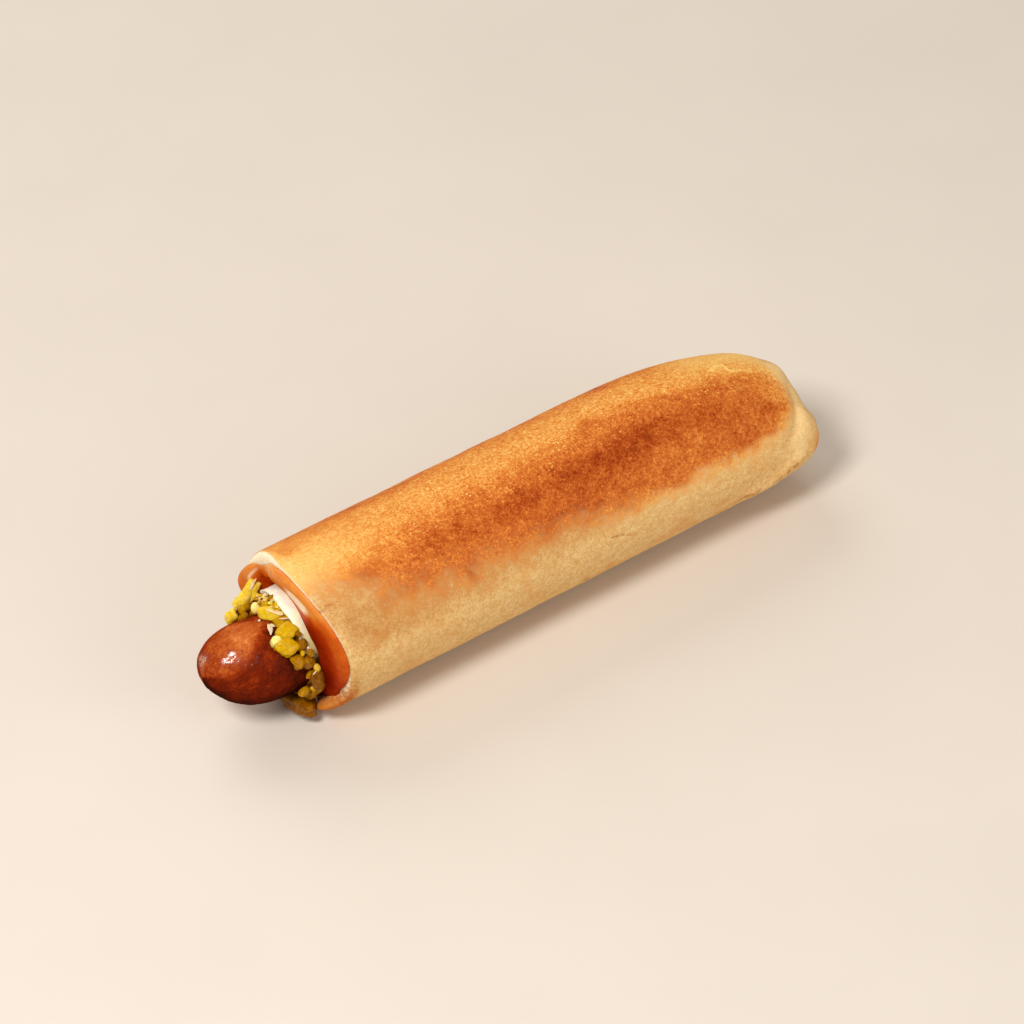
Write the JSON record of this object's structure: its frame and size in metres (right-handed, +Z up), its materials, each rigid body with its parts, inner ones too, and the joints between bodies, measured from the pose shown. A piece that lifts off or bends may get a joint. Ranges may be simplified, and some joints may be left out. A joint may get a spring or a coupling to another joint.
{
  "type": "hot dog",
  "caption": "Baked hollow roll, closed at one end, with a sausage standing out of its open mouth amid chopped pickle relish and a red and a cream dressing.",
  "frame": {"origin": "centre of the part's box, on the floor it rests on", "axes": "+X along the roll from the sausage's free tip to the closed end, +Y to the far side, +Z up"},
  "size_m": [0.203, 0.0515, 0.0477],
  "materials": {
    "crust": "baked crust, dry, with a soft sheen where it is toasted",
    "sausage": "fried sausage skin, greasy",
    "red_dressing": "wet tomato dressing",
    "cream_dressing": "wet cream dressing",
    "relish": "wet chopped pickle"
  },
  "bodies": {
    "root": {"bun": "crust", "sausage": "sausage", "red_dressing": "red_dressing", "cream_dressing": "cream_dressing", "relish": "relish"}
  },
  "joints": []
}
